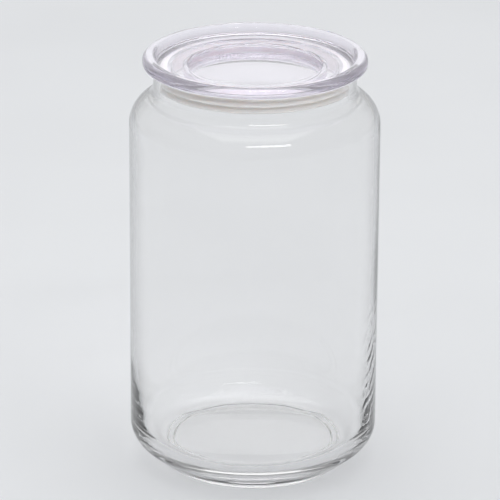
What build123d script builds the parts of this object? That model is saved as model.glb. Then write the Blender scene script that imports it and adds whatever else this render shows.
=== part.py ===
from build123d import *

import math
import os

# Glass jar with a press-in clear lid and a finned gasket.
# Millimetres, +Z up. The origin is the centre of the ring that the jar stands on.

# ---------------------------------------------------------------- driving dimensions
BODY_DIAMETER = 112.0  # glass body, outside
HEIGHT = 191.6  # floor to the top of the lid's rim
WALL = 2.8  # glass wall of the body
FLOOR_TOP = 8.4  # height of the inside floor at its edge
NECK_DIAMETER = 90.4  # glass neck, outside
MOUTH_BORE = 84.4  # glass neck, inside
LID_DIAMETER = 100.0  # rim of the lid

# ---------------------------------------------------------------- glass: foot and heel
FOOT_RADIUS = 41.0  # outside of the standing ring
FOOT_HEIGHT = 2.4  # step from the standing ring to the heel
FOOT_WIDTH = 3.2  # width of the ring that touches the table
FOOT_ROUND = 0.8  # rounding on the ring's outer side
PUNT_RADIUS = 36.5  # shallow hollow under the floor
PUNT_DEPTH = 2.0
PUNT_CROWN = 0.7  # extra rise of the hollow at the centre
HEEL_RADIUS = 44.1  # where the slope of the heel meets the step
HEEL_HEIGHT = 12.5  # where that slope would meet the wall
HEEL_FOOT_ROUND = 8.0  # rounding at the slope's lower end
HEEL_WALL_ROUND = 11.8  # rounding at its upper end

# ---------------------------------------------------------------- glass: shoulder and neck
SHOULDER_FOOT = 167.9  # height where the shoulder's slope would meet the wall
SHOULDER_HEAD = 173.6  # height where it would meet the neck
SHOULDER_ROUND = 13.5  # rounding between wall and shoulder, outside
NECK_ROUND = 6.5  # hollow rounding between shoulder and neck, outside
NECK_TOP = 185.2  # top of the glass lip
LIP_ROUND = 1.2
INNER_HEEL_HEIGHT = 40.0  # where the wall's inside starts to lean in
INNER_HEEL_ROUND = 200.0  # rounding between the upright and the leaning wall
FLOOR_RADIUS = 50.8  # where the leaning wall would meet the inside floor
FLOOR_ROUND = 14.0  # rounding between the leaning wall and the floor
CROWN_RADIUS = 37.5  # where the floor's flat ring meets its slight crown
FLOOR_CROWN = 0.6  # rise of the inside floor at the centre

# ---------------------------------------------------------------- lid
SEAT_GAP = 0.15  # between the lid's flange and the glass lip
PLATE_THICKNESS = 2.0
RIM_WIDTH = 6.2  # radial width of the upstanding rim
RIM_RAISE = 1.0  # how far the rim's underside is above the plate's
RIM_TOP_ROUND = 2.4
RIM_FOOT_ROUND = 2.1
DISH_RADIUS = 29.6  # dished centre of the lid
DISH_DEPTH = 4.0
DISH_WALL = 2.2
DISH_FLOOR = 1.9
DISH_SKIRT = 1.3  # stiffening ring under the dish
DISH_CROWN = 0.5  # rise of the dish's floor at the centre
DISH_EDGE_ROUND = 1.0  # rounding of the dish's upper edge
SKIRT_RADIUS = 38.8  # outside of the plug that carries the gasket
SKIRT_WALL = 1.8
SKIRT_LENGTH = 8.4
BEAD_OUT = 0.9  # retaining bead at the foot of the plug
BEAD_HEIGHT = 1.1

# ---------------------------------------------------------------- gasket
GASKET_FIT = 0.05  # clearance to the plug and to the glass
GASKET_BODY = 1.5  # thickness of the ring behind its fins
FIN_COUNT = 3
FIN_THICKNESS = 0.9
FIN_DROOP = 0.7  # how far each fin's tip hangs below its root

# ---------------------------------------------------------------- worked-out dimensions
BODY_RADIUS = BODY_DIAMETER / 2
INSIDE_RADIUS = BODY_RADIUS - WALL
NECK_RADIUS = NECK_DIAMETER / 2
BORE_RADIUS = MOUTH_BORE / 2
LID_RADIUS = LID_DIAMETER / 2
PLATE_BOTTOM = NECK_TOP + SEAT_GAP
PLATE_TOP = PLATE_BOTTOM + PLATE_THICKNESS
RIM_INNER = LID_RADIUS - RIM_WIDTH
RIM_BOTTOM = PLATE_BOTTOM + RIM_RAISE
DISH_TOP = PLATE_TOP - DISH_DEPTH
DISH_BOTTOM = DISH_TOP - DISH_FLOOR
SKIRT_BOTTOM = PLATE_BOTTOM - SKIRT_LENGTH
GASKET_TOP = PLATE_BOTTOM - GASKET_FIT
GASKET_BOTTOM = SKIRT_BOTTOM + BEAD_HEIGHT + GASKET_FIT
GASKET_INNER = SKIRT_RADIUS + GASKET_FIT
GASKET_ROOT = GASKET_INNER + GASKET_BODY
GASKET_OUTER = BORE_RADIUS - GASKET_FIT

# The inside of the shoulder keeps the wall's thickness under the slope outside.
shoulder_slope = (SHOULDER_HEAD - SHOULDER_FOOT) / (BODY_RADIUS - NECK_RADIUS)
shoulder_angle = math.atan(shoulder_slope)
inner_shoulder_drop = WALL * (1 - math.sin(shoulder_angle)) / math.cos(shoulder_angle)
INNER_SHOULDER_FOOT = SHOULDER_FOOT - inner_shoulder_drop
INNER_SHOULDER_HEAD = INNER_SHOULDER_FOOT + shoulder_slope * (INSIDE_RADIUS - BORE_RADIUS)


def corner(outline, radius, height):
    """The outline's corner nearest to a radius and a height."""
    return outline.vertices().sort_by_distance(Vector(radius, height))[0]


def dome(radius, base, rise):
    """Three points of a shallow dome: its edge, a point halfway in, and its crown on the axis."""
    sphere = (radius**2 + rise**2) / (2 * rise)
    halfway_drop = sphere - (sphere**2 - radius**2 / 4) ** 0.5
    return (radius, base), (radius / 2, base + rise - halfway_drop), (0, base + rise)


# ---------------------------------------------------------------- jar_body: the glass
with BuildPart() as jar_body:
    # Outside: standing ring, heel, wall, shoulder and neck.
    with BuildSketch(Plane.XZ) as glass_outline:
        with BuildLine():
            Polyline(
                (0, 0),
                (FOOT_RADIUS, 0),
                (FOOT_RADIUS, FOOT_HEIGHT),
                (HEEL_RADIUS, FOOT_HEIGHT),
                (BODY_RADIUS, HEEL_HEIGHT),
                (BODY_RADIUS, SHOULDER_FOOT),
                (NECK_RADIUS, SHOULDER_HEAD),
                (NECK_RADIUS, NECK_TOP),
                (0, NECK_TOP),
                close=True,
            )
        make_face()
        fillet(corner(glass_outline, FOOT_RADIUS, 0), FOOT_ROUND)
        fillet(corner(glass_outline, HEEL_RADIUS, FOOT_HEIGHT), HEEL_FOOT_ROUND)
        fillet(corner(glass_outline, BODY_RADIUS, HEEL_HEIGHT), HEEL_WALL_ROUND)
        fillet(corner(glass_outline, BODY_RADIUS, SHOULDER_FOOT), SHOULDER_ROUND)
        fillet(corner(glass_outline, NECK_RADIUS, SHOULDER_HEAD), NECK_ROUND)
        fillet(corner(glass_outline, NECK_RADIUS, NECK_TOP), LIP_ROUND)
    revolve(axis=Axis.Z)

    # Inside: the room for the specimen, open at the neck.
    with BuildSketch(Plane.XZ) as cavity_outline:
        with BuildLine():
            Line((0, FLOOR_TOP + FLOOR_CROWN), (0, NECK_TOP))
            Line((0, NECK_TOP), (BORE_RADIUS, NECK_TOP))
            Line((BORE_RADIUS, NECK_TOP), (BORE_RADIUS, INNER_SHOULDER_HEAD))
            Line((BORE_RADIUS, INNER_SHOULDER_HEAD), (INSIDE_RADIUS, INNER_SHOULDER_FOOT))
            Line((INSIDE_RADIUS, INNER_SHOULDER_FOOT), (INSIDE_RADIUS, INNER_HEEL_HEIGHT))
            Line((INSIDE_RADIUS, INNER_HEEL_HEIGHT), (FLOOR_RADIUS, FLOOR_TOP))
            Line((FLOOR_RADIUS, FLOOR_TOP), (CROWN_RADIUS, FLOOR_TOP))
            ThreePointArc(*dome(CROWN_RADIUS, FLOOR_TOP, FLOOR_CROWN))
        make_face()
        fillet(corner(cavity_outline, FLOOR_RADIUS, FLOOR_TOP), FLOOR_ROUND)
        fillet(corner(cavity_outline, INSIDE_RADIUS, INNER_HEEL_HEIGHT), INNER_HEEL_ROUND)
        fillet(corner(cavity_outline, INSIDE_RADIUS, INNER_SHOULDER_FOOT), SHOULDER_ROUND - WALL)
        fillet(corner(cavity_outline, BORE_RADIUS, INNER_SHOULDER_HEAD), NECK_ROUND)
    revolve(axis=Axis.Z, mode=Mode.SUBTRACT)

    # Underneath: the shallow hollow inside the standing ring.
    with BuildSketch(Plane.XZ):
        with BuildLine():
            Line((0, 0), (FOOT_RADIUS - FOOT_WIDTH, 0))
            Line((FOOT_RADIUS - FOOT_WIDTH, 0), (PUNT_RADIUS, PUNT_DEPTH))
            ThreePointArc(*dome(PUNT_RADIUS, PUNT_DEPTH, PUNT_CROWN))
            Line((0, PUNT_DEPTH + PUNT_CROWN), (0, 0))
        make_face()
    revolve(axis=Axis.Z, mode=Mode.SUBTRACT)

    lip_edges = jar_body.edges().filter_by(GeomType.CIRCLE).group_by(Axis.Z)[-1]
    fillet(lip_edges.sort_by(SortBy.RADIUS)[0], LIP_ROUND)

# ---------------------------------------------------------------- lid: clear press-in lid
with BuildPart() as lid:
    with BuildSketch(Plane.XZ) as plate_outline:
        with BuildLine():
            ThreePointArc(*dome(DISH_RADIUS - DISH_WALL / 4, DISH_TOP, DISH_CROWN))
            Line((0, DISH_TOP + DISH_CROWN), (0, DISH_BOTTOM))
            Polyline(
                (0, DISH_BOTTOM),
                (DISH_RADIUS, DISH_BOTTOM),
                (DISH_RADIUS, DISH_BOTTOM - DISH_SKIRT),
                (DISH_RADIUS + DISH_WALL, DISH_BOTTOM - DISH_SKIRT),
                (DISH_RADIUS + DISH_WALL, PLATE_BOTTOM),
                (RIM_INNER, PLATE_BOTTOM),
                (RIM_INNER + RIM_RAISE, RIM_BOTTOM),
                (LID_RADIUS, RIM_BOTTOM),
                (LID_RADIUS, HEIGHT),
                (RIM_INNER, HEIGHT),
                (RIM_INNER, PLATE_TOP),
                (DISH_RADIUS, PLATE_TOP),
                (DISH_RADIUS - DISH_WALL / 4, DISH_TOP),
            )
        make_face()
        fillet(corner(plate_outline, DISH_RADIUS, PLATE_TOP), DISH_EDGE_ROUND)
        fillet(corner(plate_outline, LID_RADIUS, HEIGHT), RIM_TOP_ROUND)
        fillet(corner(plate_outline, RIM_INNER, HEIGHT), RIM_TOP_ROUND)
        fillet(corner(plate_outline, LID_RADIUS, RIM_BOTTOM), RIM_FOOT_ROUND)
    revolve(axis=Axis.Z)

    # The plug that goes into the neck, with the bead that keeps the gasket on.
    with BuildSketch(Plane.XZ) as plug_outline:
        with BuildLine():
            Polyline(
                (SKIRT_RADIUS - SKIRT_WALL, PLATE_BOTTOM + PLATE_THICKNESS / 2),
                (SKIRT_RADIUS - SKIRT_WALL, SKIRT_BOTTOM),
                (SKIRT_RADIUS, SKIRT_BOTTOM),
                (SKIRT_RADIUS + BEAD_OUT, SKIRT_BOTTOM + BEAD_HEIGHT / 2),
                (SKIRT_RADIUS + BEAD_OUT, SKIRT_BOTTOM + BEAD_HEIGHT),
                (SKIRT_RADIUS, SKIRT_BOTTOM + BEAD_HEIGHT),
                (SKIRT_RADIUS, PLATE_BOTTOM + PLATE_THICKNESS / 2),
                close=True,
            )
        make_face()
    revolve(axis=Axis.Z)

# ---------------------------------------------------------------- gasket: finned ring
fin_pitch = (GASKET_TOP - GASKET_BOTTOM - FIN_THICKNESS - FIN_DROOP) / (FIN_COUNT - 1)

with BuildPart() as gasket:
    with BuildSketch(Plane.XZ):
        with BuildLine():
            Polyline(
                (GASKET_INNER, GASKET_BOTTOM),
                (GASKET_ROOT, GASKET_BOTTOM),
                (GASKET_ROOT, GASKET_TOP),
                (GASKET_INNER, GASKET_TOP),
                close=True,
            )
        make_face()
        for fin in range(FIN_COUNT):
            root = GASKET_BOTTOM + FIN_DROOP + fin * fin_pitch
            with BuildLine():
                Polyline(
                    (GASKET_ROOT - GASKET_BODY / 2, root),
                    (GASKET_OUTER, root - FIN_DROOP),
                    (GASKET_OUTER, root - FIN_DROOP + FIN_THICKNESS / 2),
                    (GASKET_ROOT - GASKET_BODY / 2, root + FIN_THICKNESS),
                    close=True,
                )
            make_face()
    revolve(axis=Axis.Z)

# ---------------------------------------------------------------- write the pieces
pieces = {"jar_body": jar_body, "lid": lid, "gasket": gasket}
os.makedirs("parts", exist_ok=True)
for name, piece in pieces.items():
    piece.part.label = name
    export_step(piece.part, f"parts/{name}.step")
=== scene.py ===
"""A clear specimen jar: turned glass, a clear press-in lid and its finned gasket, in a plain studio."""
import functools
import logging
import math
from dataclasses import dataclass
from enum import Enum
from typing import Iterable, Sequence, Union

import bpy
from mathutils import Matrix, Vector


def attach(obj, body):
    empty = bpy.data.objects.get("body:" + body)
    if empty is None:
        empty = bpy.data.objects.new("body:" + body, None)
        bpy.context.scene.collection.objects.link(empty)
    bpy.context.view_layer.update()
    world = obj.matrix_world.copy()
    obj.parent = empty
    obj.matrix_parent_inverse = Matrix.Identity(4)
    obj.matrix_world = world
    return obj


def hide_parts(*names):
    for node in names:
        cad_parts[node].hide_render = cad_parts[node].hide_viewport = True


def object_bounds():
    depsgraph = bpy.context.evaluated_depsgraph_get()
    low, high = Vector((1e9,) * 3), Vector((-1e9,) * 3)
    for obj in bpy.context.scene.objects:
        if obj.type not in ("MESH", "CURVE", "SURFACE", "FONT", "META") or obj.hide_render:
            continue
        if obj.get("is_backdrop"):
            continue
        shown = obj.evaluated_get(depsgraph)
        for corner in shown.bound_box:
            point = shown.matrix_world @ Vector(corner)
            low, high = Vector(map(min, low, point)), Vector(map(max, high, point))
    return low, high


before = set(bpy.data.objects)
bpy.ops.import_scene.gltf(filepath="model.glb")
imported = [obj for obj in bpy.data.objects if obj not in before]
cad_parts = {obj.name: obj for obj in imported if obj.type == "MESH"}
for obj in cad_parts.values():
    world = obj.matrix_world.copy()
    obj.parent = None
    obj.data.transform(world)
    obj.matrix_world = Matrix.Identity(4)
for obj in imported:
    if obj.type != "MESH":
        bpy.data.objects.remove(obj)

LOG = logging.getLogger("specimen_jar")
MM = 0.001
Colour = tuple[float, float, float]
Feed = Union[bpy.types.NodeSocket, float, int, Sequence[float], bpy.types.Material]


class Body(Enum):
    """The bodies of the frame that the pieces ride on."""

    JAR = "jar"
    SEAL = "seal"
    LID = "lid"


class Slot(Enum):
    """The material slots of the record."""

    GLASS = "glass"
    LID = "lid_plastic"
    GASKET = "gasket_rubber"


# ------------------------------------------------------------------ node writing
class Graph:
    """Places and joins nodes in one tree."""

    STEP = 200

    def __init__(self, tree: bpy.types.NodeTree) -> None:
        """Start on an empty tree.

        Args:
            tree: The tree to fill.
        """
        self.tree = tree
        self.placed = 0

    def add(self, kind: str, **settings: object) -> bpy.types.Node:
        """Add one node.

        Args:
            kind: Blender's name for the node type.
            **settings: Properties to set on the node.

        Returns:
            The new node.
        """
        node = self.tree.nodes.new(kind)
        node.location = (self.placed * self.STEP, 0)
        self.placed += 1
        for name, value in settings.items():
            setattr(node, name, value)
        return node

    def feed(self, socket: bpy.types.NodeSocket, value: Feed) -> None:
        """Give a socket a constant or another node's output.

        Args:
            socket: The input socket to fill.
            value: A constant, or an output socket to link from.
        """
        if isinstance(value, bpy.types.NodeSocket):
            self.tree.links.new(value, socket)
        else:
            socket.default_value = value

    def interface(self, inputs: Iterable[tuple[str, str]], output: str) -> dict[str, str]:
        """Name a geometry tree's inputs and its output.

        Args:
            inputs: Each input's name and socket type.
            output: The output's name.

        Returns:
            The inputs' identifiers by name.
        """
        made = {}
        for name, kind in inputs:
            socket = self.tree.interface.new_socket(name, in_out="INPUT", socket_type=kind)
            made[name] = socket.identifier
        self.tree.interface.new_socket(output, in_out="OUTPUT", socket_type="NodeSocketGeometry")
        return made

    def finished_solid(self, geometry: bpy.types.NodeSocket, material: bpy.types.NodeSocket) -> None:
        """End a geometry tree with real faces and their material.

        Args:
            geometry: The geometry to put out.
            material: The material it gets.
        """
        solid = self.add("GeometryNodeRealizeInstances")
        self.feed(solid.inputs[0], geometry)
        finish = self.add("GeometryNodeSetMaterial")
        self.feed(finish.inputs["Geometry"], solid.outputs[0])
        self.feed(finish.inputs["Material"], material)
        self.feed(self.add("NodeGroupOutput").inputs[0], finish.outputs[0])

    def fill(self, node: bpy.types.Node, *values: Feed) -> bpy.types.NodeSocket:
        """Feed a node's inputs in order.

        Args:
            node: The node.
            *values: What its inputs get.

        Returns:
            The node's first output.
        """
        for socket, value in zip(node.inputs, values):
            self.feed(socket, value)
        return node.outputs[0]

    def math(self, operation: str, *values: Feed) -> bpy.types.NodeSocket:
        """Work out one operation, such as "ADD", on the values."""
        return self.fill(self.add("ShaderNodeMath", operation=operation), *values)

    def product(self, *values: Feed) -> bpy.types.NodeSocket:
        """Multiply the values."""
        return functools.reduce(functools.partial(self.math, "MULTIPLY"), values)

    def vector(self, x: Feed, y: Feed, z: Feed) -> bpy.types.NodeSocket:
        """Join three numbers to a vector."""
        return self.fill(self.add("ShaderNodeCombineXYZ"), x, y, z)

    def parts(self, vector: bpy.types.NodeSocket) -> list[bpy.types.NodeSocket]:
        """Split a vector.

        Args:
            vector: The vector to split.

        Returns:
            Its three parts.
        """
        node = self.add("ShaderNodeSeparateXYZ")
        self.feed(node.inputs[0], vector)
        return list(node.outputs)

    def spread(
        self, value: Feed, low: Feed, high: Feed, to_low: float = 0.0, to_high: float = 1.0
    ) -> bpy.types.NodeSocket:
        """Map a number smoothly from one range to another, held at the range's ends."""
        node = self.add("ShaderNodeMapRange", interpolation_type="SMOOTHSTEP")
        return self.fill(node, value, low, high, to_low, to_high)

    def noise(
        self, place: Feed, scale: Feed, detail: float = 2.0, distortion: float = 0.0
    ) -> bpy.types.NodeSocket:
        """Add soft noise.

        Args:
            place: Where it is read.
            scale: Its features for each metre.
            detail: How many finer layers it has.
            distortion: How far it is swirled.

        Returns:
            The noise, from 0 to 1.
        """
        node = self.add("ShaderNodeTexNoise")
        given = {"Vector": place, "Scale": scale, "Detail": detail, "Distortion": distortion}
        for name, value in given.items():
            self.feed(node.inputs[name], value)
        return node.outputs[0]

    def blend(self, share: Feed, start: Colour, end: Colour) -> bpy.types.NodeSocket:
        """Blend two colours.

        Args:
            share: How much of the second colour, 0 to 1.
            start: The first colour.
            end: The second colour.

        Returns:
            The blended colour.
        """
        node = self.add("ShaderNodeMix", data_type="RGBA")
        for index, value in ((0, share), (6, (*start, 1.0)), (7, (*end, 1.0))):
            self.feed(node.inputs[index], value)
        return node.outputs[2]

    def bump(
        self, height: Feed, distance: float, normal: Union[bpy.types.NodeSocket, None] = None
    ) -> bpy.types.NodeSocket:
        """Tilt the surface by a height.

        Args:
            height: The height, as a share of the distance.
            distance: The height's full size in metres.
            normal: The surface direction to start from, or None for the surface's own.

        Returns:
            The tilted surface direction.
        """
        node = self.add("ShaderNodeBump")
        node.inputs["Distance"].default_value = distance
        self.feed(node.inputs["Height"], height)
        if normal is not None:
            self.feed(node.inputs["Normal"], normal)
        return node.outputs[0]


# ------------------------------------------------------------------ outlines
@dataclass(frozen=True)
class Corner:
    """One corner of a turned outline, in millimetres.

    Attributes:
        radius: Distance from the axis.
        height: Height above the table.
        rounding: Radius of the arc in the corner's place; 0 keeps the corner.
        ream: How much of the glass's slow waviness the surface takes here, 0 to 1.
    """

    radius: float
    height: float
    rounding: float = 0.0
    ream: float = 0.0

    @property
    def place(self) -> Vector:
        """The corner as a point."""
        return Vector((self.radius, self.height))


@dataclass(frozen=True)
class Outline:
    """An outline of corners, rounded and divided for turning.

    Attributes:
        corners: The corners in order, so that the solid lies on the left.
        spacing: Longest straight step between points, in millimetres.
        arc_step: Longest step round an arc, in degrees.
    """

    corners: tuple[Corner, ...]
    spacing: float = 2.4
    arc_step: float = 7.0

    def arc(self, before: Vector, at: Vector, after: Vector, rounding: float) -> list[Vector]:
        """Round one corner.

        Args:
            before: The point before the corner.
            at: The corner.
            after: The point after it.
            rounding: The arc's radius.

        Returns:
            Points along the arc.
        """
        back = (before - at).normalized()
        ahead = (after - at).normalized()
        half = back.angle(ahead) / 2
        centre = at + (back + ahead).normalized() * (rounding / math.sin(half))
        start = at + back * (rounding / math.tan(half)) - centre
        turn = (math.pi - 2 * half) * (1 if back.cross(ahead) < 0 else -1)
        steps = max(2, math.ceil(abs(math.degrees(turn)) / self.arc_step))
        return [centre + Matrix.Rotation(turn * i / steps, 2) @ start for i in range(steps + 1)]

    def points(self) -> list[tuple[float, float, float]]:
        """Work out every point of the outline.

        Returns:
            Radius, height and ream of each point, in millimetres.
        """
        made: list[tuple[Vector, float]] = []
        last = len(self.corners) - 1
        for i, corner in enumerate(self.corners):
            if corner.rounding and 0 < i < last:
                before, after = self.corners[i - 1].place, self.corners[i + 1].place
                bend = self.arc(before, corner.place, after, corner.rounding)
            else:
                bend = [corner.place]
            made += [(point, corner.ream) for point in bend]
        result = []
        for (start, ream), (end, next_ream) in zip(made, made[1:]):
            steps = max(1, math.ceil((end - start).length / self.spacing))
            for i in range(steps):
                share = i / steps
                point = start.lerp(end, share)
                result.append((point.x, point.y, ream + (next_ream - ream) * share))
        result.append((made[-1][0].x, made[-1][0].y, made[-1][1]))
        return result


# ------------------------------------------------------------------ turning
def run_tree(
    name: str,
    mesh: bpy.types.Mesh,
    tree: bpy.types.NodeTree,
    sockets: dict[str, str],
    values: dict[str, object],
) -> bpy.types.Object:
    """Run a geometry tree on a mesh and keep the result as a plain mesh.

    Args:
        name: The finished object's name.
        mesh: What the tree starts from.
        tree: The tree.
        sockets: The identifiers of its named inputs.
        values: What each named input is set to.

    Returns:
        The finished object, at the origin.
    """
    source = bpy.data.objects.new(name + "_source", mesh)
    bpy.context.scene.collection.objects.link(source)
    modifier = source.modifiers.new("tree", "NODES")
    modifier.node_group = tree
    for label, value in values.items():
        modifier[sockets[label]] = value
    evaluated = source.evaluated_get(bpy.context.evaluated_depsgraph_get())
    plain = bpy.data.meshes.new_from_object(evaluated)
    plain.name = name
    bpy.data.objects.remove(source)
    bpy.data.meshes.remove(mesh)
    made = bpy.data.objects.new(name, plain)
    bpy.context.scene.collection.objects.link(made)
    return made


class TurningTree:
    """The Geometry Nodes tree that turns an outline round the upright axis."""

    NAME = "Turned solid"
    WELD = 1e-6
    SHARP_DEGREES = 38.0
    WAVE_SQUASH = 0.45  # makes the slow waves longer up the wall than round it
    NOISE_MIDDLE = 0.5
    HALF_ROW = 0.5  # keeps the division below clear of a whole number

    def __init__(self) -> None:
        """Build the tree."""
        self.tree = bpy.data.node_groups.new(self.NAME, "GeometryNodeTree")
        self.graph = Graph(self.tree)
        inputs = (
            ("Outline", "NodeSocketGeometry"),
            ("Segments", "NodeSocketInt"),
            ("Ream depth", "NodeSocketFloat"),
            ("Ream scale", "NodeSocketFloat"),
            ("Ream seed", "NodeSocketFloat"),
            ("Finish", "NodeSocketMaterial"),
        )
        self.sockets = self.graph.interface(inputs, "Solid")
        self._nodes()

    def _sample(
        self, outline: bpy.types.NodeSocket, kind: str, value: Feed, row: Feed
    ) -> bpy.types.NodeSocket:
        """Read a value from the outline's points.

        Args:
            outline: The outline's geometry.
            kind: The value's data type.
            value: The field to read.
            row: Which point of the outline to read it at.

        Returns:
            The value read.
        """
        node = self.graph.add("GeometryNodeSampleIndex", data_type=kind, domain="POINT")
        self.graph.feed(node.inputs["Geometry"], outline)
        self.graph.feed(node.inputs["Value"], value)
        self.graph.feed(node.inputs["Index"], row)
        return node.outputs[0]

    def _turned(self, inputs: bpy.types.Node) -> bpy.types.NodeSocket:
        """Lay a grid round the axis, with one row for each point of the outline.

        Args:
            inputs: The Group Input node.

        Returns:
            The turned, unwelded surface.
        """
        graph = self.graph
        size = graph.add("GeometryNodeAttributeDomainSize", component="MESH")
        graph.feed(size.inputs[0], inputs.outputs["Outline"])
        columns = graph.math("ADD", inputs.outputs["Segments"], 1.0)
        grid = graph.add("GeometryNodeMeshGrid")
        graph.feed(grid.inputs["Vertices X"], size.outputs["Point Count"])
        graph.feed(grid.inputs["Vertices Y"], columns)
        index = graph.add("GeometryNodeInputIndex").outputs[0]
        row = graph.math("FLOOR", graph.math("DIVIDE", graph.math("ADD", index, self.HALF_ROW), columns))
        column = graph.math("SUBTRACT", index, graph.product(row, columns))
        angle = graph.product(graph.math("DIVIDE", column, inputs.outputs["Segments"]), -math.tau)
        place = graph.add("GeometryNodeInputPosition").outputs[0]
        ream = graph.add("GeometryNodeInputNamedAttribute", data_type="FLOAT")
        ream.inputs["Name"].default_value = "ream"
        outline = inputs.outputs["Outline"]
        radius, _, height = graph.parts(self._sample(outline, "FLOAT_VECTOR", place, row))
        share = self._sample(outline, "FLOAT", ream.outputs[0], row)
        around, across = graph.math("COSINE", angle), graph.math("SINE", angle)
        waves = graph.add("ShaderNodeTexNoise", noise_dimensions="4D")
        flat = graph.vector(
            graph.product(around, radius),
            graph.product(across, radius),
            graph.product(height, self.WAVE_SQUASH),
        )
        graph.feed(waves.inputs["Vector"], flat)
        graph.feed(waves.inputs["W"], inputs.outputs["Ream seed"])
        graph.feed(waves.inputs["Scale"], inputs.outputs["Ream scale"])
        graph.feed(waves.inputs["Detail"], 1.0)
        swing = graph.math("SUBTRACT", waves.outputs[0], self.NOISE_MIDDLE)
        depth = graph.product(swing, share, inputs.outputs["Ream depth"])
        reach = graph.math("ADD", radius, depth)
        target = graph.vector(graph.product(around, reach), graph.product(across, reach), height)
        move = graph.add("GeometryNodeSetPosition")
        graph.feed(move.inputs["Geometry"], grid.outputs["Mesh"])
        graph.feed(move.inputs["Position"], target)
        return move.outputs[0]

    def _nodes(self) -> None:
        """Write the tree from the outline to the finished solid."""
        graph = self.graph
        inputs = graph.add("NodeGroupInput")
        surface = self._turned(inputs)
        weld = graph.add("GeometryNodeMergeByDistance")
        graph.feed(weld.inputs["Geometry"], surface)
        graph.feed(weld.inputs["Distance"], self.WELD)
        smooth = graph.add("GeometryNodeSetShadeSmooth", domain="FACE")
        graph.feed(smooth.inputs["Geometry"], weld.outputs[0])
        angle = graph.add("GeometryNodeInputMeshEdgeAngle").outputs["Unsigned Angle"]
        soft = graph.math("LESS_THAN", angle, math.radians(self.SHARP_DEGREES))
        edges = graph.add("GeometryNodeSetShadeSmooth", domain="EDGE")
        graph.feed(edges.inputs["Geometry"], smooth.outputs[0])
        graph.feed(edges.inputs["Shade Smooth"], soft)
        graph.finished_solid(edges.outputs[0], inputs.outputs["Finish"])


@dataclass(frozen=True)
class Turning:
    """One solid to be turned.

    Attributes:
        name: The piece's name.
        outline: Its outline.
        finish: Its material.
        segments: Faces round the axis.
        ream_depth: Depth of the slow waviness, in millimetres.
        ream_scale: Waves for each metre.
        ream_seed: Chooses the waves.
    """

    name: str
    outline: Outline
    finish: bpy.types.Material
    segments: int = 256
    ream_depth: float = 0.0
    ream_scale: float = 20.0
    ream_seed: float = 0.0

    def make(self, tree: TurningTree) -> bpy.types.Object:
        """Turn the outline into a plain mesh.

        Args:
            tree: The tree that does the turning.

        Returns:
            The finished object, at the origin.
        """
        points = self.outline.points()
        wire = bpy.data.meshes.new(self.name + "_outline")
        wire.from_pydata([(r * MM, 0.0, z * MM) for r, z, _ in points], [], [])
        ream = wire.attributes.new("ream", "FLOAT", "POINT")
        for item, (_, _, share) in zip(ream.data, points):
            item.value = share
        values = {
            "Segments": self.segments,
            "Ream depth": self.ream_depth * MM,
            "Ream scale": self.ream_scale,
            "Ream seed": self.ream_seed,
            "Finish": self.finish,
        }
        return run_tree(self.name, wire, tree.tree, tree.sockets, values)


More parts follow.
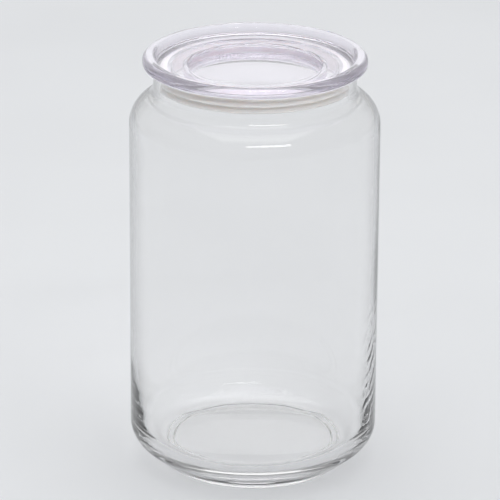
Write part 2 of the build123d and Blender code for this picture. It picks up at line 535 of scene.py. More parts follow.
@dataclass(frozen=True)
class RibStrip:
    """A straight strip of short raised ribs inside a round face, in millimetres.

    Attributes:
        name: The piece's name.
        finish: Its material.
        floor: Height of the face that the ribs stand on.
        edge: Radius that the ribs' far ends stay within.
        near: Distance from the axis to the ribs' near ends.
        count: Number of ribs.
        pitch: Distance from one rib to the next.
        width: Width of a rib.
        length: Longest rib.
        height: How far the ribs stand out.
        sunk: How far their feet reach into the face.
    """

    name: str
    finish: bpy.types.Material
    floor: float
    edge: float
    near: float = 18.0
    count: int = 25
    pitch: float = 1.6
    width: float = 0.8
    length: float = 6.0
    height: float = 0.5
    sunk: float = 0.25

    def rib(self) -> bpy.types.Mesh:
        """Make one rib of unit size, from x -1/2 to 1/2, y 0 to 1 and z 0 to 1, with a crowned top.

        Returns:
            The rib's mesh.
        """
        across = (-0.5, -0.5, -0.25, 0.25, 0.5, 0.5)
        up = (0.0, 0.6, 1.0, 1.0, 0.6, 0.0)
        section = list(zip(across, up))
        points = [(x, y, z) for y in (0.0, 1.0) for x, z in section]
        count = len(section)
        sides = [(i, (i + 1) % count, count + (i + 1) % count, count + i) for i in range(count)]
        ends = [tuple(reversed(range(count))), tuple(range(count, 2 * count))]
        mesh = bpy.data.meshes.new(self.name + "_rib")
        mesh.from_pydata(points, [], sides + ends)
        return mesh

    def tree(self) -> tuple[bpy.types.NodeTree, dict[str, str]]:
        """Build the Geometry Nodes tree that repeats the rib along the strip.

        Returns:
            The tree and the identifiers of its named inputs.
        """
        tree = bpy.data.node_groups.new("Rib strip", "GeometryNodeTree")
        graph = Graph(tree)
        sizes = ("Pitch", "Width", "Length", "Height", "Near", "Edge", "Foot")
        wanted = [("Rib", "NodeSocketGeometry"), ("Count", "NodeSocketInt")]
        wanted += [(name, "NodeSocketFloat") for name in sizes] + [("Finish", "NodeSocketMaterial")]
        sockets = graph.interface(wanted, "Ribs")
        inputs = graph.add("NodeGroupInput").outputs
        index = graph.add("GeometryNodeInputIndex").outputs[0]
        middle = graph.math("DIVIDE", graph.math("SUBTRACT", inputs["Count"], 1.0), 2.0)
        across = graph.product(graph.math("SUBTRACT", index, middle), inputs["Pitch"])
        line = graph.add("GeometryNodeMeshLine")
        graph.feed(line.inputs["Count"], inputs["Count"])
        places = graph.add("GeometryNodeSetPosition")
        graph.feed(places.inputs["Geometry"], line.outputs[0])
        graph.feed(places.inputs["Position"], graph.vector(across, inputs["Near"], inputs["Foot"]))
        circle = graph.product(inputs["Edge"], inputs["Edge"])
        chord = graph.math("SQRT", graph.math("SUBTRACT", circle, graph.product(across, across)))
        length = graph.math("MINIMUM", graph.math("SUBTRACT", chord, inputs["Near"]), inputs["Length"])
        copies = graph.add("GeometryNodeInstanceOnPoints")
        graph.feed(copies.inputs["Points"], places.outputs[0])
        graph.feed(copies.inputs["Instance"], inputs["Rib"])
        graph.feed(copies.inputs["Scale"], graph.vector(inputs["Width"], length, inputs["Height"]))
        graph.finished_solid(copies.outputs[0], inputs["Finish"])
        return tree, sockets

    def make(self) -> bpy.types.Object:
        """Repeat the rib along the strip.

        Returns:
            The finished object, at the origin.
        """
        tree, sockets = self.tree()
        values = {
            "Count": self.count,
            "Pitch": self.pitch * MM,
            "Width": self.width * MM,
            "Length": self.length * MM,
            "Height": (self.height + self.sunk) * MM,
            "Near": self.near * MM,
            "Edge": self.edge * MM,
            "Foot": (self.floor - self.sunk) * MM,
            "Finish": self.finish,
        }
        return run_tree(self.name, self.rib(), tree, sockets, values)


# ------------------------------------------------------------------ shared shader effects
class Effect(Enum):
    """The shared shader node groups."""

    HANDLING = "Handling marks"
    UNDULATION = "Surface undulation"
    DRAW_LINES = "Drawn lines"


class EffectShelf:
    """Builds each shared effect once."""

    WIPE_TURN = (0.3, 0.5, 0.2)  # direction of the wipe marks, in radians
    WIPE_STRETCH = (1.0, 1.0, 0.35)  # draws the marks out one way
    WIPE_DETAIL = 5.0
    WIPE_DISTORTION = 0.6
    SMEAR_RANGE = (0.48, 0.72)  # the part of the noise that shows as a smear
    SMEAR_SHARE = 0.7
    SPECK_SCALE = 900.0
    SPECK_RANGE = (0.03, 0.11)  # from a speck's middle to its faded edge
    WIDE_DETAIL = 1.0
    DRIFT_SCALE = 90.0
    DRIFT_TURNS = 1.6  # how many lines a drawn line wanders by
    BOTTOM_FADE = 0.01  # lengths in metres over which the drawn lines fade
    TOP_FADE = 0.03
    SIDE_FADE = 0.008
    FRONT_RANGE = (-0.006, 0.002)  # from full lines to none, going back

    def __init__(self) -> None:
        """Build every effect."""
        self.groups = {
            Effect.HANDLING: self._handling(),
            Effect.UNDULATION: self._undulation(),
            Effect.DRAW_LINES: self._draw_lines(),
        }

    @staticmethod
    def _start(
        effect: Effect, inputs: dict[str, float], outputs: dict[str, str]
    ) -> tuple[Graph, bpy.types.Node]:
        """Start a group with its named inputs and outputs.

        Args:
            effect: The effect the group makes.
            inputs: Each number input's name and first value.
            outputs: Each output's name and socket type.

        Returns:
            The group's graph and its Group Input node.
        """
        tree = bpy.data.node_groups.new(effect.value, "ShaderNodeTree")
        for name, value in inputs.items():
            socket = tree.interface.new_socket(name, in_out="INPUT", socket_type="NodeSocketFloat")
            socket.default_value = value
        for name, kind in outputs.items():
            tree.interface.new_socket(name, in_out="OUTPUT", socket_type=kind)
        graph = Graph(tree)
        return graph, graph.add("NodeGroupInput")

    def _handling(self) -> bpy.types.NodeTree:
        """Build wipe marks and dust that dull a clean surface in patches.

        Returns:
            The group: a Roughness and a Mask that vary over the surface.
        """
        inputs = {"Scale": 30.0, "Clean": 0.0, "Dull": 0.05, "Dust": 0.02}
        outputs = {"Roughness": "NodeSocketFloat", "Mask": "NodeSocketFloat"}
        graph, given = self._start(Effect.HANDLING, inputs, outputs)
        place = graph.add("ShaderNodeTexCoord").outputs["Object"]
        stretched = graph.add("ShaderNodeMapping")
        graph.feed(stretched.inputs["Vector"], place)
        stretched.inputs["Rotation"].default_value = self.WIPE_TURN
        stretched.inputs["Scale"].default_value = self.WIPE_STRETCH
        scale = given.outputs["Scale"]
        wipes = graph.noise(stretched.outputs[0], scale, self.WIPE_DETAIL, self.WIPE_DISTORTION)
        smear = graph.spread(wipes, *self.SMEAR_RANGE)
        specks = graph.add("ShaderNodeTexVoronoi", feature="F1")
        graph.feed(specks.inputs["Vector"], place)
        specks.inputs["Scale"].default_value = self.SPECK_SCALE
        speck = graph.spread(specks.outputs["Distance"], *self.SPECK_RANGE, 1.0, 0.0)
        dusty = graph.product(speck, given.outputs["Dust"])
        mask = graph.math("ADD", graph.product(smear, self.SMEAR_SHARE), dusty)
        range_ = graph.math("SUBTRACT", given.outputs["Dull"], given.outputs["Clean"])
        rough = graph.math("ADD", given.outputs["Clean"], graph.product(mask, range_))
        out = graph.add("NodeGroupOutput")
        graph.feed(out.inputs["Roughness"], rough)
        graph.feed(out.inputs["Mask"], mask)
        return graph.tree

    def _undulation(self) -> bpy.types.NodeTree:
        """Build the soft unevenness of a pressed or blown surface.

        Returns:
            The group: a Height that varies over the surface.
        """
        inputs = {"Wide": 25.0, "Fine": 160.0, "Fine share": 0.2}
        graph, given = self._start(Effect.UNDULATION, inputs, {"Height": "NodeSocketFloat"})
        place = graph.add("ShaderNodeTexCoord").outputs["Object"]
        wide = graph.noise(place, given.outputs["Wide"], self.WIDE_DETAIL)
        fine = graph.noise(place, given.outputs["Fine"])
        share = graph.product(fine, given.outputs["Fine share"])
        out = graph.add("NodeGroupOutput")
        graph.feed(out.inputs["Height"], graph.math("ADD", wide, share))
        return graph.tree

    def _draw_lines(self) -> bpy.types.NodeTree:
        """Build the slanting lines that cooling leaves low on one side of the wall.

        Returns:
            The group: a Height that varies over the surface.
        """
        inputs = {
            "Pitch": 0.007,
            "Slant": 0.5,
            "Bottom": 0.012,
            "Top": 0.055,
            "Side": 0.046,
            "Inner": 0.0545,
        }
        graph, given = self._start(Effect.DRAW_LINES, inputs, {"Height": "NodeSocketFloat"})
        pitch, slant, bottom, top, side, inner = (given.outputs[name] for name in inputs)
        place = graph.add("ShaderNodeTexCoord").outputs["Object"]
        x, y, z = graph.parts(place)
        slanted = graph.math("SUBTRACT", z, graph.product(y, slant))
        wander = graph.product(graph.noise(place, self.DRIFT_SCALE), self.DRIFT_TURNS)
        turns = graph.math("ADD", graph.math("DIVIDE", slanted, pitch), wander)
        wave = graph.math("SINE", graph.product(turns, math.tau))
        above = graph.spread(z, bottom, graph.math("ADD", bottom, self.BOTTOM_FADE))
        below = graph.spread(z, top, graph.math("ADD", top, self.TOP_FADE), 1.0, 0.0)
        beside = graph.spread(x, side, graph.math("ADD", side, self.SIDE_FADE))
        ahead = graph.spread(y, *self.FRONT_RANGE, 1.0, 0.0)
        reach = graph.math("SQRT", graph.math("ADD", graph.product(x, x), graph.product(y, y)))
        inside = graph.math("LESS_THAN", reach, inner)
        faded = graph.product(above, below, beside, ahead, inside)
        out = graph.add("NodeGroupOutput")
        graph.feed(out.inputs["Height"], graph.product(wave, faded))
        return graph.tree

    def place(self, graph: Graph, effect: Effect, **values: float) -> bpy.types.Node:
        """Place an effect in a material.

        Args:
            graph: The material's graph.
            effect: The effect to place.
            **values: Its inputs, with spaces in their names written as underscores.

        Returns:
            The placed group node.
        """
        node = graph.add("ShaderNodeGroup", node_tree=self.groups[effect])
        for name, value in values.items():
            node.inputs[name.replace("_", " ").capitalize()].default_value = value
        return node


# ------------------------------------------------------------------ finishes
def blank_material(name: str) -> tuple[bpy.types.Material, Graph, bpy.types.Node, bpy.types.Node]:
    """Start a material with only its shader and output.

    Args:
        name: The material's name.

    Returns:
        The material, its graph, its Principled BSDF and its output.
    """
    material = bpy.data.materials.new(name)
    material.use_nodes = True
    material.node_tree.nodes.clear()
    graph = Graph(material.node_tree)
    shader = graph.add("ShaderNodeBsdfPrincipled")
    output = graph.add("ShaderNodeOutputMaterial")
    return material, graph, shader, output


@dataclass(frozen=True)
class ClearFinish:
    """A clear glass or plastic that lets lamplight through to what is behind it.

    Attributes:
        name: The material's name.
        tint: Colour of what is seen through one face.
        ior: Index of refraction.
        passes: Colour of the lamplight that goes straight through.
        body_colour: Colour that depth takes on, or None for a colourless body.
        body_density: How fast depth takes it on, per metre.
        dull: Roughness of the dullest patches.
        dust: How much dust lies on it.
        wave_height: Height of the surface's unevenness, in metres.
        line_height: Height of the slanting lines low on the wall, in metres.
        painted_edge_shade: Painted shade: colour blended onto an outside face seen at a grazing angle,
            drawn as the glass's dark outline, or None for the plain tint.
        clarity: Share of the light that goes through; the rest is scattered, as in a milky plastic.
        edge_blend: How evenly the painted edge shade's angle is spread.
        edge_range: Where on that spread the painted edge shade starts and is full.
    """

    name: str
    tint: Colour
    ior: float
    passes: Colour
    body_colour: Union[Colour, None] = None
    body_density: float = 0.0
    dull: float = 0.02
    dust: float = 0.3
    wave_height: float = 0.00002
    line_height: float = 0.0
    painted_edge_shade: Union[Colour, None] = None
    clarity: float = 1.0
    edge_blend: float = 0.5
    edge_range: tuple[float, float] = (0.50, 0.92)

    def _edge(self, graph: Graph, colour_input: bpy.types.NodeSocket) -> None:
        """Paint grey shade on the outside of the glass where it is seen at a grazing angle, as a painted
        dark outline.

        Args:
            graph: The material's graph.
            colour_input: The shader's colour input.
        """
        angle = graph.add("ShaderNodeLayerWeight")
        angle.inputs["Blend"].default_value = self.edge_blend
        grazing = graph.spread(angle.outputs["Facing"], *self.edge_range)
        coordinates = graph.add("ShaderNodeTexCoord").outputs
        x, y, _ = graph.parts(coordinates["Object"])
        normal_x, normal_y, _ = graph.parts(coordinates["Normal"])
        outward = graph.math("ADD", graph.product(x, normal_x), graph.product(y, normal_y))
        outside = graph.math("GREATER_THAN", outward, 0.0)
        # painted shade: outside faces blend toward the dark edge colour at grazing angles
        graph.feed(colour_input, graph.blend(graph.product(grazing, outside), self.tint, self.painted_edge_shade))

    def make(self, effects: EffectShelf) -> bpy.types.Material:
        """Build the material.

        Args:
            effects: The shared effects.

        Returns:
            The material.
        """
        material, graph, shader, output = blank_material(self.name)
        shader.inputs["Base Color"].default_value = (*self.tint, 1.0)
        if self.painted_edge_shade:
            self._edge(graph, shader.inputs["Base Color"])
        shader.inputs["IOR"].default_value = self.ior
        shader.inputs["Transmission Weight"].default_value = self.clarity
        marks = effects.place(graph, Effect.HANDLING, scale=28.0, clean=0.0, dull=self.dull, dust=self.dust)
        graph.feed(shader.inputs["Roughness"], marks.outputs["Roughness"])
        waves = effects.place(graph, Effect.UNDULATION, wide=22.0, fine=120.0, fine_share=0.15)
        normal = graph.bump(waves.outputs["Height"], self.wave_height)
        if self.line_height:
            lines = effects.place(graph, Effect.DRAW_LINES)
            normal = graph.bump(lines.outputs["Height"], self.line_height, normal)
        graph.feed(shader.inputs["Normal"], normal)
        clear = graph.add("ShaderNodeBsdfTransparent")
        clear.inputs["Color"].default_value = (*self.passes, 1.0)
        rays = graph.add("ShaderNodeLightPath")
        mixed = graph.add("ShaderNodeMixShader")
        graph.feed(mixed.inputs["Fac"], rays.outputs["Is Shadow Ray"])
        graph.feed(mixed.inputs[1], shader.outputs[0])
        graph.feed(mixed.inputs[2], clear.outputs[0])
        graph.feed(output.inputs["Surface"], mixed.outputs[0])
        if self.body_colour:
            body = graph.add("ShaderNodeVolumeAbsorption")
            body.inputs["Color"].default_value = (*self.body_colour, 1.0)
            body.inputs["Density"].default_value = self.body_density
            graph.feed(output.inputs["Volume"], body.outputs[0])
        return material


@dataclass(frozen=True)
class SiliconeFinish:
    """A milky cream silicone with a faint bloom.

    Attributes:
        name: The material's name.
        colour: Its colour.
        bloom: Its colour where dust and bloom lie on it.
        depth: How far light spreads inside it, in metres.
        spread: How far each colour spreads, as shares of the depth.
        milkiness: Share of the light that spreads inside it.
        ior: Index of refraction.
        grain: Height of the surface's grain, in metres.
    """

    name: str
    colour: Colour
    bloom: Colour
    depth: float = 0.003
    spread: Colour = (1.0, 0.8, 0.7)
    milkiness: float = 0.6
    ior: float = 1.41
    grain: float = 0.00003

    def make(self, effects: EffectShelf) -> bpy.types.Material:
        """Build the material.

        Args:
            effects: The shared effects.

        Returns:
            The material.
        """
        material, graph, shader, output = blank_material(self.name)
        marks = effects.place(graph, Effect.HANDLING, scale=60.0, clean=0.38, dull=0.62, dust=0.5)
        graph.feed(shader.inputs["Roughness"], marks.outputs["Roughness"])
        graph.feed(shader.inputs["Base Color"], graph.blend(marks.outputs["Mask"], self.colour, self.bloom))
        waves = effects.place(graph, Effect.UNDULATION, wide=300.0, fine=2500.0, fine_share=0.5)
        graph.feed(shader.inputs["Normal"], graph.bump(waves.outputs["Height"], self.grain))
        shader.inputs["IOR"].default_value = self.ior
        shader.inputs["Subsurface Weight"].default_value = self.milkiness
        shader.inputs["Subsurface Radius"].default_value = self.spread
        shader.inputs["Subsurface Scale"].default_value = self.depth
        graph.feed(output.inputs["Surface"], shader.outputs[0])
        return material


@dataclass(frozen=True)
class FloorFinish:
    """A pale matt floor with a faint cloudy unevenness.

    Attributes:
        name: The material's name.
        pale: The lighter colour.
        deep: The darker colour.
        cloud_scale: Clouds for each metre.
        cloud_range: Where in the clouds the darker colour starts and is full.
    """

    name: str
    pale: Colour
    deep: Colour
    cloud_scale: float = 6.0
    cloud_range: tuple[float, float] = (0.35, 0.65)

    def make(self) -> bpy.types.Material:
        """Build the material.

        Returns:
            The material.
        """
        material, graph, shader, output = blank_material(self.name)
        place = graph.add("ShaderNodeTexCoord").outputs["Object"]
        share = graph.spread(graph.noise(place, self.cloud_scale), *self.cloud_range)
        graph.feed(shader.inputs["Base Color"], graph.blend(share, self.pale, self.deep))
        shader.inputs["Roughness"].default_value = 1.0
        shader.inputs["Specular IOR Level"].default_value = 0.0
        graph.feed(output.inputs["Surface"], shader.outputs[0])
        return material


# ------------------------------------------------------------------ sub-assemblies
DOME_RINGS = 8


def dome(edge: float, base: float, rise: float, within: float, ream: float = 0.0) -> tuple[Corner, ...]:
    """Divide a shallow dome from a ring on it to its crown.

    Args:
        edge: Radius of the dome's edge.
        base: Height of its edge.
        rise: Height of the crown above the edge.
        within: Radius of the first ring.
        ream: How much waviness the surface takes.

    Returns:
        The dome's corners, ending on the axis.
    """
    sphere = (edge**2 + rise**2) / (2 * rise)
    radii = [within * (1 - i / DOME_RINGS) for i in range(DOME_RINGS + 1)]
    drops = [sphere - math.sqrt(sphere**2 - radius**2) for radius in radii]
    return tuple(Corner(radius, base + rise - drop, 0.0, ream) for radius, drop in zip(radii, drops))


@dataclass(frozen=True)
class Jar:
    """The blown and pressed glass, in millimetres: standing ring, heel, wall, shoulder and neck."""

    radius: float = 56.0
    wall: float = 2.8
    foot_radius: float = 41.0
    foot_width: float = 3.2
    foot_height: float = 2.4
    foot_round: float = 0.8
    foot_inner_round: float = 0.4
    foot_step_round: float = 0.3
    punt_radius: float = 36.5
    punt_depth: float = 2.0
    punt_crown: float = 0.7
    heel_radius: float = 44.1
    heel_height: float = 12.5
    heel_foot_round: float = 8.0
    heel_wall_round: float = 11.8
    shoulder_foot: float = 167.9
    shoulder_head: float = 173.6
    shoulder_round: float = 13.5
    neck_radius: float = 45.2
    neck_round: float = 6.5
    bore_radius: float = 42.2
    top: float = 185.2
    lip_round: float = 1.2
    inner_heel_height: float = 40.0
    inner_heel_round: float = 200.0
    floor_radius: float = 50.8
    floor_round: float = 14.0
    crown_radius: float = 37.5
    crown_edge: float = 1.0
    floor_top: float = 8.4
    floor_crown: float = 0.6
    ream_depth: float = 0.4
    ream_fade: float = 20.0

    def outside(self) -> tuple[Corner, ...]:
        """List the outside's corners from the table to the lip.

        Returns:
            The corners.
        """
        return (
            Corner(self.foot_radius - self.foot_width, 0.0, self.foot_inner_round),
            Corner(self.foot_radius, 0.0, self.foot_round),
            Corner(self.foot_radius, self.foot_height, self.foot_step_round),
            Corner(self.heel_radius, self.foot_height, self.heel_foot_round),
            Corner(self.radius, self.heel_height, self.heel_wall_round),
            Corner(self.radius, self.shoulder_foot, self.shoulder_round),
            Corner(self.neck_radius, self.shoulder_head, self.neck_round),
            Corner(self.neck_radius, self.top, self.lip_round),
            Corner(self.bore_radius, self.top, self.lip_round),
        )

    def inside(self) -> tuple[Corner, ...]:
        """List the inside's corners from the neck to the crown of the floor.

        Returns:
            The corners.
        """
        slope = (self.shoulder_head - self.shoulder_foot) / (self.radius - self.neck_radius)
        lean = math.atan(slope)
        drop = self.wall * (1 - math.sin(lean)) / math.cos(lean)
        inner = self.radius - self.wall
        foot = self.shoulder_foot - drop
        head = foot + slope * (inner - self.bore_radius)
        crown_ring = self.crown_radius - self.crown_edge
        floor = dome(self.crown_radius, self.floor_top, self.floor_crown, crown_ring)
        return (
            Corner(self.bore_radius, head, self.neck_round),
            Corner(inner, foot, self.shoulder_round - self.wall, ream=0.4),
            Corner(inner, foot - self.ream_fade, ream=1.0),
            Corner(inner, self.inner_heel_height + self.ream_fade, ream=1.0),
            Corner(inner, self.inner_heel_height, self.inner_heel_round, ream=0.5),
            Corner(self.floor_radius, self.floor_top, self.floor_round, ream=0.2),
            *floor,
        )

    def outline(self) -> Outline:
        """Join the punt, the outside and the inside to one outline, from axis to axis.

        Returns:
            The outline.
        """
        punt = dome(self.punt_radius, self.punt_depth, self.punt_crown, self.punt_radius)
        return Outline((*reversed(punt), *self.outside(), *self.inside()))

    def build(self, turning: TurningTree, finish: bpy.types.Material) -> bpy.types.Object:
        """Turn the glass and put it in the frame.

        Args:
            turning: The tree that does the turning.
            finish: The glass.

        Returns:
            The glass.
        """
        glass = Turning("glass_jar", self.outline(), finish, ream_depth=self.ream_depth).make(turning)
        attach(glass, Body.JAR.value)
        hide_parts("jar_body")
        return glass


@dataclass(frozen=True)
class Lid:
    """The clear press-in lid, in millimetres: rim, plate, dish and the plug that carries the gasket."""

    radius: float = 50.0
    top: float = 191.6
    plate_bottom: float = 185.35
    plate: float = 2.0
    rim_width: float = 6.2
    rim_raise: float = 1.0
    rim_top_round: float = 2.4
    rim_foot_round: float = 2.1
    dish_radius: float = 29.6
    dish_depth: float = 4.0
    dish_wall: float = 2.2
    dish_floor: float = 1.9
    dish_skirt: float = 1.3
    dish_crown: float = 0.5
    dish_edge_round: float = 1.0
    plug_radius: float = 38.8
    plug_wall: float = 1.8
    plug_length: float = 8.4
    bead_out: float = 0.9
    bead_height: float = 1.1
    edge_round: float = 0.3

    @property
    def dish_top(self) -> float:
        """The height of the dish's floor."""
        return self.plate_bottom + self.plate - self.dish_depth

    @property
    def dish_floor_radius(self) -> float:
        """The radius of the dish's floor."""
        return self.dish_radius - self.dish_wall / 4

    def underside(self) -> tuple[Corner, ...]:
        """List the underside's corners from the axis to the rim.

        Returns:
            The corners.
        """
        dish_bottom = self.dish_top - self.dish_floor
        dish_foot = dish_bottom - self.dish_skirt
        plug_foot = self.plate_bottom - self.plug_length
        rim_inner = self.radius - self.rim_width
        bead = self.plug_radius + self.bead_out
        small = self.edge_round
        return (
            Corner(0.0, dish_bottom),
            Corner(self.dish_radius, dish_bottom, small),
            Corner(self.dish_radius, dish_foot, small),
            Corner(self.dish_radius + self.dish_wall, dish_foot, small),
            Corner(self.dish_radius + self.dish_wall, self.plate_bottom, small),
            Corner(self.plug_radius - self.plug_wall, self.plate_bottom, small),
            Corner(self.plug_radius - self.plug_wall, plug_foot, small),
            Corner(self.plug_radius, plug_foot, small),
            Corner(bead, plug_foot + self.bead_height / 2),
            Corner(bead, plug_foot + self.bead_height),
            Corner(self.plug_radius, plug_foot + self.bead_height),
            Corner(self.plug_radius, self.plate_bottom),
            Corner(rim_inner, self.plate_bottom, small),
            Corner(rim_inner + self.rim_raise, self.plate_bottom + self.rim_raise, small),
        )

    def upside(self) -> tuple[Corner, ...]:
        """List the rim's and the upper side's corners, ending on the axis.

        Returns:
            The corners.
        """
        rim_inner = self.radius - self.rim_width
        plate_top = self.plate_bottom + self.plate
        small = self.edge_round
        ring = self.dish_floor_radius - 2 * small
        return (
            Corner(self.radius, self.plate_bottom + self.rim_raise, self.rim_foot_round),
            Corner(self.radius, self.top, self.rim_top_round),
            Corner(rim_inner, self.top, self.rim_top_round),
            Corner(rim_inner, plate_top, small * 2),
            Corner(self.dish_radius, plate_top, self.dish_edge_round),
            Corner(self.dish_floor_radius, self.dish_top, small),
            *dome(self.dish_floor_radius, self.dish_top, self.dish_crown, ring),
        )

    def build(self, turning: TurningTree, finish: bpy.types.Material) -> list[bpy.types.Object]:
        """Turn the lid, add its grip ribs and put both in the frame.

        Args:
            turning: The tree that does the turning.
            finish: The clear plastic.

        Returns:
            The lid and its ribs.
        """
        outline = Outline((*self.underside(), *self.upside()), arc_step=9.0)
        moulding = Turning("lid_moulding", outline, finish).make(turning)
        edge = self.dish_floor_radius - self.edge_round
        ribs = RibStrip("lid_ribs", finish, floor=self.dish_top + self.dish_crown / 2, edge=edge).make()
        for piece in (moulding, ribs):
            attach(piece, Body.LID.value)
        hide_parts("lid")
        return [moulding, ribs]


@dataclass(frozen=True)
class Gasket:
    """The finned gasket, in millimetres."""

    inner: float = 38.85
    body: float = 1.5
    outer: float = 42.15
    bottom: float = 178.1
    top: float = 185.3
    fins: int = 3
    fin_thickness: float = 0.9
    fin_droop: float = 0.7
    tip_round: float = 0.15
    root_round: float = 0.25

    def fin(self, root: float) -> tuple[Corner, ...]:
        """List one fin's corners from its underside to its upper side.

        Args:
            root: Height of the fin's underside at the ring behind it.

        Returns:
            The corners.
        """
        back = self.inner + self.body
        tip = root - self.fin_droop
        return (
            Corner(back, root, self.root_round),
            Corner(self.outer, tip, self.tip_round),
            Corner(self.outer, tip + self.fin_thickness / 2, self.tip_round),
            Corner(back, root + self.fin_thickness, self.root_round),
        )

    def build(self, turning: TurningTree, finish: bpy.types.Material) -> bpy.types.Object:
        """Turn the gasket and put it in the frame.

        Args:
            turning: The tree that does the turning.
            finish: The silicone.

        Returns:
            The gasket.
        """
        height = self.top - self.bottom - self.fin_thickness - self.fin_droop
        pitch = height / (self.fins - 1)
        corners = [Corner(self.inner, self.bottom), Corner(self.inner + self.body, self.bottom)]
        for i in range(self.fins):
            corners += self.fin(self.bottom + self.fin_droop + i * pitch)
        corners += [Corner(self.inner, self.top), corners[0]]
        ring = Turning("gasket_ring", Outline(tuple(corners), arc_step=20.0), finish).make(turning)
        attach(ring, Body.SEAL.value)
        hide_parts("gasket")
        return ring


# ------------------------------------------------------------------ studio
@dataclass(frozen=True)
class Softbox:
    """A rectangular lamp that faces the middle of the jar.

    Attributes:
        name: The lamp's name.
        azimuth: Where it stands, in degrees anticlockwise from the front, seen from above.
        elevation: How high it stands, in degrees.
        distance: How far off, in metres.
        width: Its width in metres.
        height: Its height in metres.
        glow: Brightness of its face.
        colour: Its colour.
    """

    name: str
    azimuth: float
    elevation: float
    distance: float
    width: float
    height: float
    glow: float
    colour: Colour = (1.0, 1.0, 1.0)

    def place(self, target: Vector) -> bpy.types.Object:
        """Hang the lamp.

        Args:
            target: The point that it faces.

        Returns:
            The lamp.
        """
        lamp = bpy.data.lights.new(self.name, "AREA")
        lamp.shape = "RECTANGLE"
        lamp.size = self.width
        lamp.size_y = self.height
        lamp.energy = self.glow * self.width * self.height * math.pi
        lamp.color = self.colour
        lifted = bpy.data.objects.new(self.name, lamp)
        around, up = math.radians(self.azimuth), math.radians(self.elevation)
        out = Vector((math.sin(around) * math.cos(up), -math.cos(around) * math.cos(up), math.sin(up)))
        lifted.location = target + out * self.distance
        lifted.rotation_euler = out.to_track_quat("Z", "Y").to_euler()
        bpy.context.scene.collection.objects.link(lifted)
        return lifted


@dataclass(frozen=True)
class Camera:
    """A long lens that looks down on the jar from the front.

    Attributes:
        pitch: How far it looks down, in degrees.
        roll: How far it is turned about its own axis, in degrees.
        distance: Distance from its target, in metres.
        aim: Height of its target on the jar's axis, in metres.
        lens: Focal length in millimetres.
        sensor: Width of its sensor in millimetres.
        shift: Sideways shift as a share of the frame's width.
    """

    pitch: float = 20.6
    roll: float = 0.36
    distance: float = 1.6867
    aim: float = 0.0992
    lens: float = 269.5
    sensor: float = 36.0
    shift: float = -0.008

    def place(self) -> None:
        """Set up the camera and make it the scene's."""
        data = bpy.data.cameras.new("camera")
        data.lens = self.lens
        data.sensor_width = self.sensor
        data.shift_x = self.shift
        camera = bpy.data.objects.new("camera", data)
        down = math.radians(self.pitch)
        back = Vector((0.0, -math.cos(down), math.sin(down)))
        camera.location = Vector((0.0, 0.0, self.aim)) + back * self.distance
        tilt = Matrix.Rotation(math.radians(90.0) - down, 4, "X")
        spin = Matrix.Rotation(math.radians(self.roll), 4, "Z")
        camera.rotation_euler = (tilt @ spin).to_euler()
        bpy.context.scene.collection.objects.link(camera)
        bpy.context.scene.camera = camera


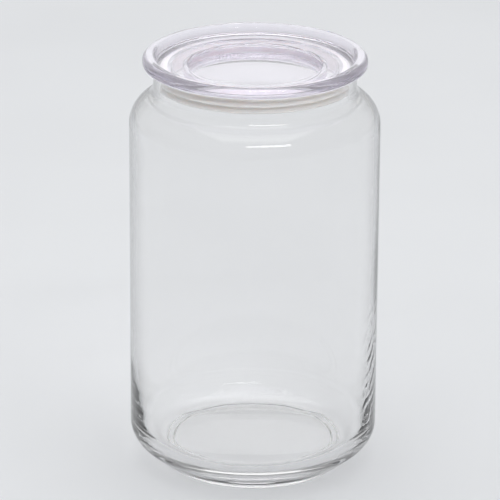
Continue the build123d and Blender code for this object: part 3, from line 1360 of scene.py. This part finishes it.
@dataclass(frozen=True)
class Studio:
    """The pale floor, the soft surroundings, the lamps and the camera."""

    floor_size: float = 6.0
    floor_pale: Colour = (0.80, 0.81, 0.825)
    floor_deep: Colour = (0.785, 0.795, 0.81)
    room_bright: Colour = (0.98, 0.99, 1.0)
    room_dim: Colour = (0.9, 0.905, 0.91)
    room_glow: float = 0.675
    dim_below: float = 0.30
    bright_above: float = 0.72
    overhead_reach: float = 1.3
    bounces: int = 32
    mirror_bounces: int = 12
    straight_passes: int = 24
    lamp_aim: float = 0.1

    def _surroundings(self) -> None:
        """Make the room's light, a little brighter overhead and behind than low in front and beside."""
        world = bpy.data.worlds.new("studio")
        world.use_nodes = True
        world.node_tree.nodes.clear()
        graph = Graph(world.node_tree)
        _, behind, up = graph.parts(graph.add("ShaderNodeTexCoord").outputs["Generated"])
        raised = graph.product(up, self.overhead_reach)
        highest = graph.math("MAXIMUM", behind, raised)
        share = graph.spread(highest, self.dim_below, self.bright_above)
        glow = graph.add("ShaderNodeBackground")
        graph.feed(glow.inputs["Color"], graph.blend(share, self.room_dim, self.room_bright))
        glow.inputs["Strength"].default_value = self.room_glow
        graph.feed(graph.add("ShaderNodeOutputWorld").inputs["Surface"], glow.outputs[0])
        bpy.context.scene.world = world

    def _floor(self) -> None:
        """Lay the floor."""
        half = self.floor_size / 2
        corners = [(-half, -half, 0.0), (half, -half, 0.0), (half, half, 0.0), (-half, half, 0.0)]
        mesh = bpy.data.meshes.new("floor")
        mesh.from_pydata(corners, [], [(0, 1, 2, 3)])
        mesh.materials.append(FloorFinish("pale_floor", self.floor_pale, self.floor_deep).make())
        floor = bpy.data.objects.new("floor", mesh)
        bpy.context.scene.collection.objects.link(floor)
        floor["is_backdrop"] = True

    def _lamps(self) -> None:
        """Hang the lamps."""
        middle = Vector((0.0, 0.0, self.lamp_aim))
        lamps = (
            Softbox("box_overhead", 180.0, 80.0, distance=1.15, width=1.1, height=1.7, glow=0.9),
            Softbox("strip_over_front", 15.0, 47.0, distance=1.8, width=1.1, height=0.05, glow=22.0),
            Softbox("box_back", 180.0, 21.0, distance=2.2, width=1.7, height=0.55, glow=0.42),
        )
        for lamp in lamps:
            lamp.place(middle)

    def build(self) -> None:
        """Set up everything round the object."""
        scene = bpy.context.scene
        scene.view_settings.view_transform = "Standard"
        scene.cycles.max_bounces = self.bounces
        scene.cycles.transmission_bounces = self.bounces
        scene.cycles.glossy_bounces = self.mirror_bounces
        scene.cycles.transparent_max_bounces = self.straight_passes
        self._surroundings()
        self._floor()
        self._lamps()
        Camera().place()


# ------------------------------------------------------------------ assembly
def report(piece: bpy.types.Object) -> None:
    """Report a finished piece in the log.

    Args:
        piece: The piece.
    """
    mesh = piece.data
    LOG.info("%s: %d points, %d faces", piece.name, len(mesh.vertices), len(mesh.polygons))


def main(cad_box: Iterable[Iterable[float]]) -> None:
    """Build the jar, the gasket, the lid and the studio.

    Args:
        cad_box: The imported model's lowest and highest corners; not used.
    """
    logging.basicConfig(level=logging.INFO, format="%(name)s %(message)s")
    effects = EffectShelf()
    turning = TurningTree()
    glass = ClearFinish(
        name="clear_glass",
        tint=(0.968, 0.968, 0.968),
        ior=1.5,
        passes=(0.998, 0.998, 0.998),
        line_height=0.00008,
        # painted shade: dark grey blended onto the glass's outside at grazing angles, as its dark outline
        painted_edge_shade=(0.25, 0.25, 0.26),
    ).make(effects)
    plastic = ClearFinish(
        name="clear_lilac_plastic",
        tint=(0.972, 0.95, 0.995),
        ior=1.5,
        passes=(0.996, 0.994, 0.998),
        body_colour=(0.74, 0.68, 0.94),
        body_density=8.0,
        clarity=0.93,
    ).make(effects)
    silicone = SiliconeFinish("cream_silicone", (0.93, 0.885, 0.85), (0.94, 0.91, 0.89)).make(effects)
    report(Jar().build(turning, glass))
    report(Gasket().build(turning, silicone))
    for piece in Lid().build(turning, plastic):
        report(piece)
    Studio().build()


if __name__ == "__main__":
    main([list(corner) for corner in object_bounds()])
